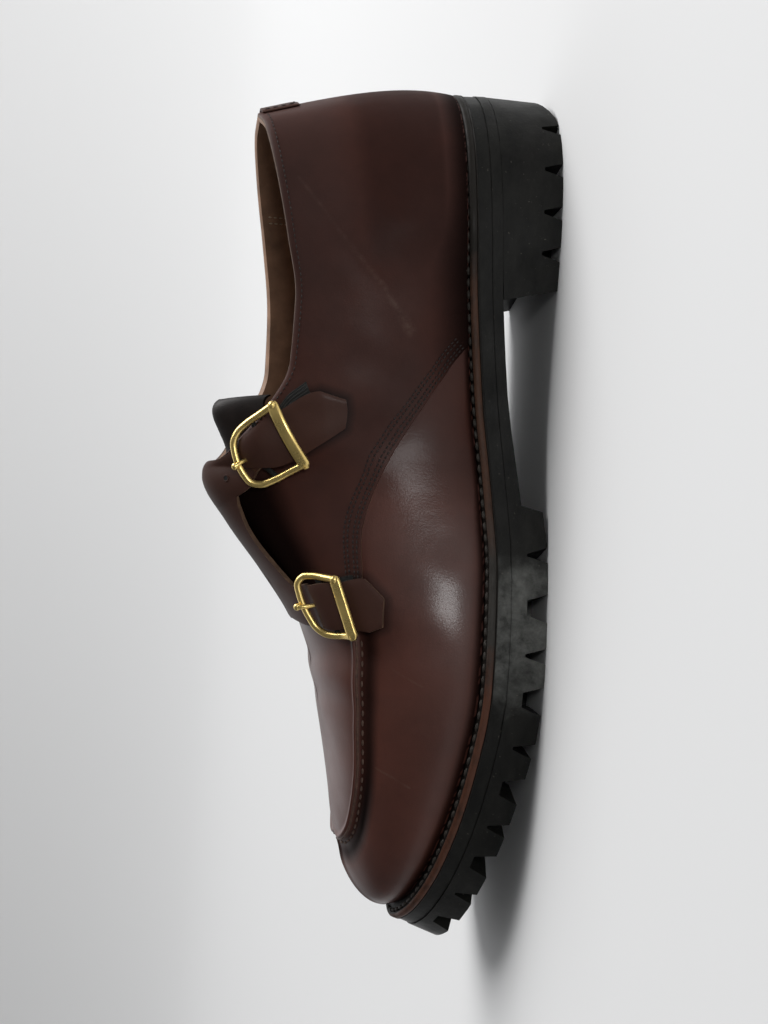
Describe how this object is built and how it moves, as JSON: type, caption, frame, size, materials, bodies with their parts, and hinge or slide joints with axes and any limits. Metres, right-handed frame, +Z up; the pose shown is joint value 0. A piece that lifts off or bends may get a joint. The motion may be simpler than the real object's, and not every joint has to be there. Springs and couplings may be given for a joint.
{
  "type": "double monk strap shoe",
  "caption": "Left double monk strap shoe: hollow leather upper with a raised apron seam, buckled straps over the instep, welt, and a lugged rubber sole with a separate heel",
  "frame": {"origin": "centre of the bounding box's floor: the plane on which the heel and the ball of the sole stand", "axes": "+Y to the toe, +X to the inner side of the foot, +Z up"},
  "size_m": [0.1042, 0.3015, 0.1146],
  "materials": {
    "black_rubber": "matt, slightly grey",
    "welt_leather": "dark edge dressing",
    "lining_leather": "plain lining",
    "oxblood_leather": "polished",
    "tongue_leather": "soft, dark",
    "black_elastic": "woven, matt",
    "brass": "polished"
  },
  "bodies": {
    "root": {"buckle_lower": "brass", "buckle_tab_lower": "black_elastic", "buckle_tab_upper": "black_elastic", "buckle_upper": "brass", "heel": "black_rubber", "heel_tab": "oxblood_leather", "insole": "lining_leather", "midsole": "black_rubber", "monk_flap": "oxblood_leather", "outsole": "black_rubber", "prong_lower": "brass", "prong_upper": "brass", "tongue": "tongue_leather", "upper": "oxblood_leather", "welt": "welt_leather"}
  },
  "joints": []
}
